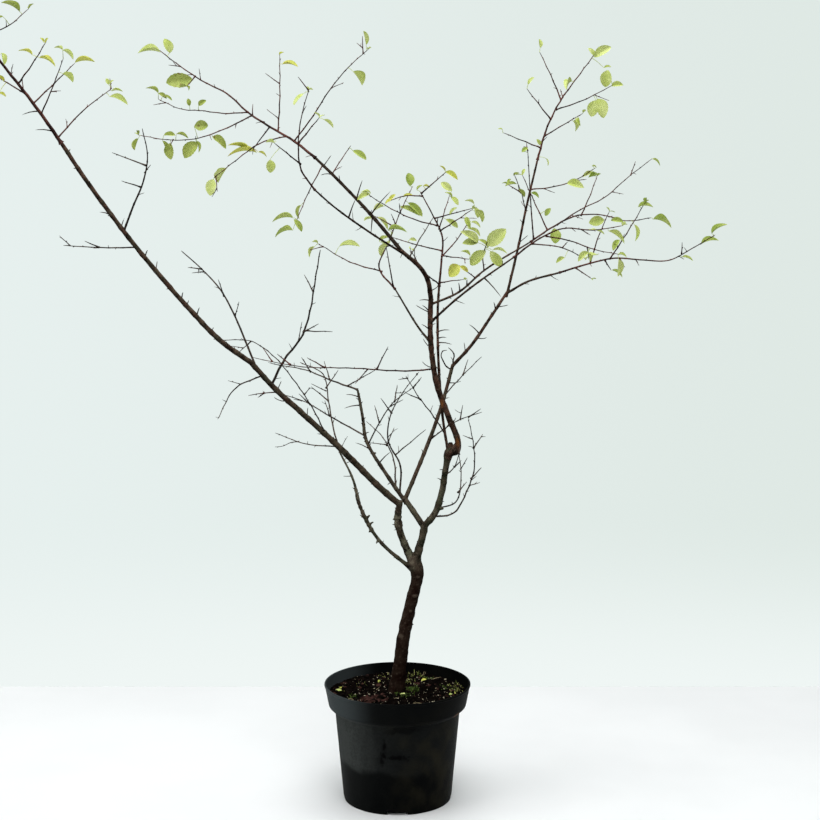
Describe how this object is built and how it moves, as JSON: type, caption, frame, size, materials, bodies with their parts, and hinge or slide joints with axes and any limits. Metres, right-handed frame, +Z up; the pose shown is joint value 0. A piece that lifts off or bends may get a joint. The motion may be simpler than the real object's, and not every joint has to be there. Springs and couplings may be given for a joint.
{
  "type": "potted cherry plum tree",
  "caption": "Young deciduous tree in a round black nursery pot: a crooked trunk forks low into long thin boughs that carry sparse twigs with small yellow-green leaves.",
  "frame": {"origin": "middle of the pot's underside, on the level disc that the pot stands on with its foot ring", "axes": "+Z up along the pot's axis, +X to the right and +Y to the back as the picture sees the plant"},
  "size_m": [1.1094, 0.4484, 1.2464],
  "materials": {
    "pot": "moulded black polypropylene with a dull sheen, dusty and water-marked",
    "soil": "dark crumbly potting mix",
    "bark": "dark red-brown bark with grey-green patches and pale scars",
    "twigs": "thin brown twigs with matt yellow-green leaves"
  },
  "bodies": {
    "root": {"pot": "pot", "soil": "soil", "trunk": "bark", "centre_bough": "bark", "crossing_bough": "bark", "crossing_stem": "bark", "knot_bough": "bark", "leader_high": "bark", "leader_low": "bark", "left_bough_high": "bark", "left_bough_low": "bark", "left_stem": "bark", "left_subleader": "bark", "low_left_bough": "bark", "low_right_bough": "bark", "middle_left_bough": "bark", "right_bough": "bark", "right_stem": "bark", "second_left_bough": "bark", "side_right_high": "bark", "side_right_low": "bark", "upper_left_bough": "bark", "upper_right_bough": "bark", "arching_twigs": "twigs", "centre_low_twigs": "twigs", "centre_twigs": "twigs", "crossing_side_twigs": "twigs", "crossing_tip_twigs": "twigs", "hanging_twigs": "twigs", "inner_back_twigs": "twigs", "inner_left_twigs": "twigs", "knot_twigs": "twigs", "leader_side_twigs": "twigs", "left_high_twigs": "twigs", "left_level_twigs": "twigs", "left_rise_twigs": "twigs", "left_side_twigs": "twigs", "left_tip_twigs": "twigs", "level_twigs": "twigs", "low_left_twigs": "twigs", "low_right_twigs": "twigs", "middle_right_twigs": "twigs", "middle_side_twigs": "twigs", "middle_top_twigs": "twigs", "right_inner_twigs": "twigs", "right_left_twigs": "twigs", "right_middle_twigs": "twigs", "right_outer_twigs": "twigs", "second_left_twigs": "twigs", "short_left_twigs": "twigs", "side_high_twigs": "twigs", "side_left_twigs": "twigs", "side_low_twigs": "twigs", "side_rising_twigs": "twigs", "subleader_twigs": "twigs", "upper_hanging_twigs": "twigs", "upper_left_twigs": "twigs", "upper_right_twigs": "twigs", "upper_side_twigs": "twigs"}
  },
  "joints": []
}
